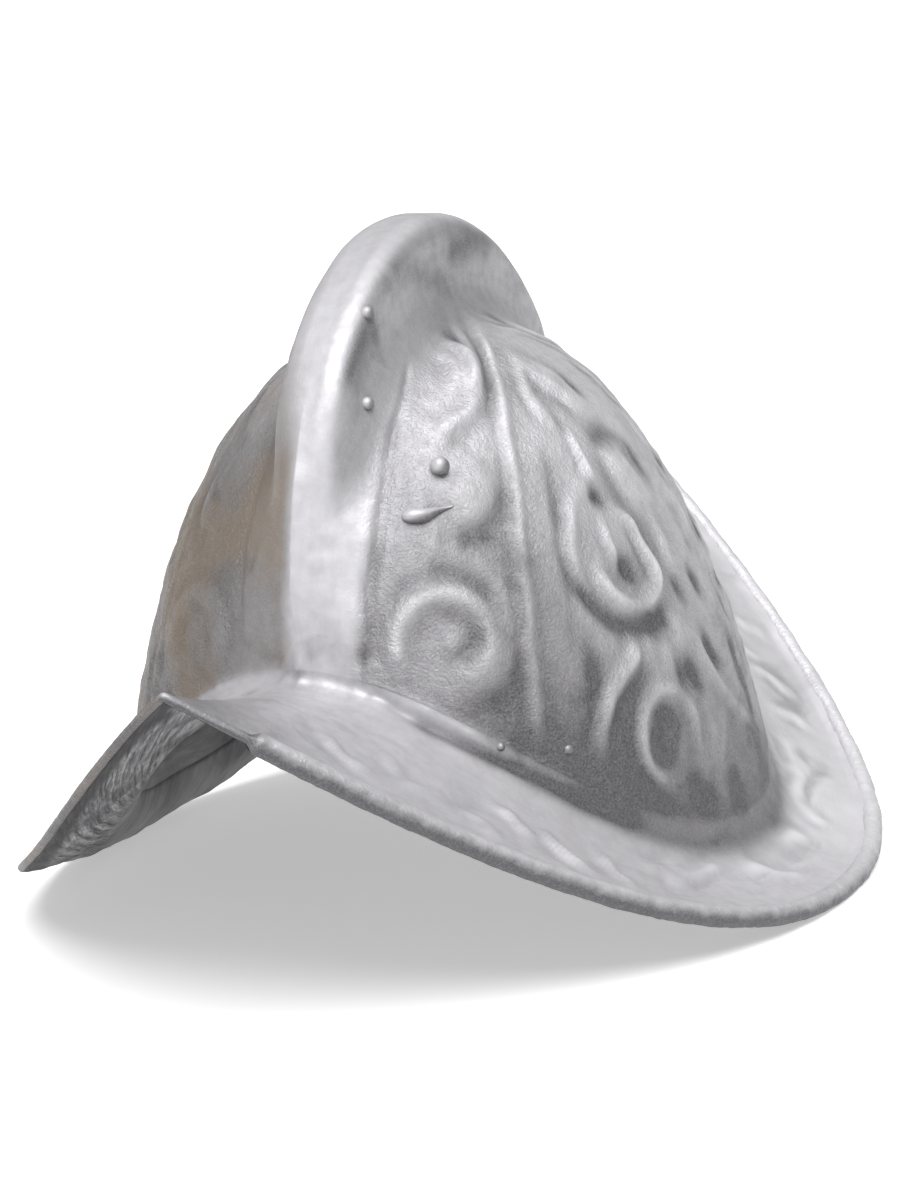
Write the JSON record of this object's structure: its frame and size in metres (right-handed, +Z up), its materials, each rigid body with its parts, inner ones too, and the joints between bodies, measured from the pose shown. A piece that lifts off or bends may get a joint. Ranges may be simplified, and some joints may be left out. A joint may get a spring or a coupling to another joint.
{
  "type": "morion helmet",
  "caption": "Open comb morion helmet with a tall rounded comb, embossed bowl skull, boat-shaped brim peaked front and back, and a rolled border on which it rests",
  "frame": {"origin": "on the floor under the middle of the helmet, which rests on the lowest points of its border", "axes": "-Y is the front of the helmet, +X its left side, +Z up"},
  "size_m": [0.2712, 0.362, 0.21],
  "materials": {
    "skull_silver": "silver paint over a stippled embossed surface, darker in the hollows",
    "comb_silver": "silver paint, smooth and brushed along the comb, with grey smudges",
    "brim_silver": "silver paint above, dark wash with dry-brushed streaks below",
    "rim_silver": "rough brushed silver paint, dark on its underside"
  },
  "bodies": {
    "root": {"skull": "skull_silver", "comb": "comb_silver", "brim": "brim_silver", "rim_roll": "rim_silver"}
  },
  "joints": []
}
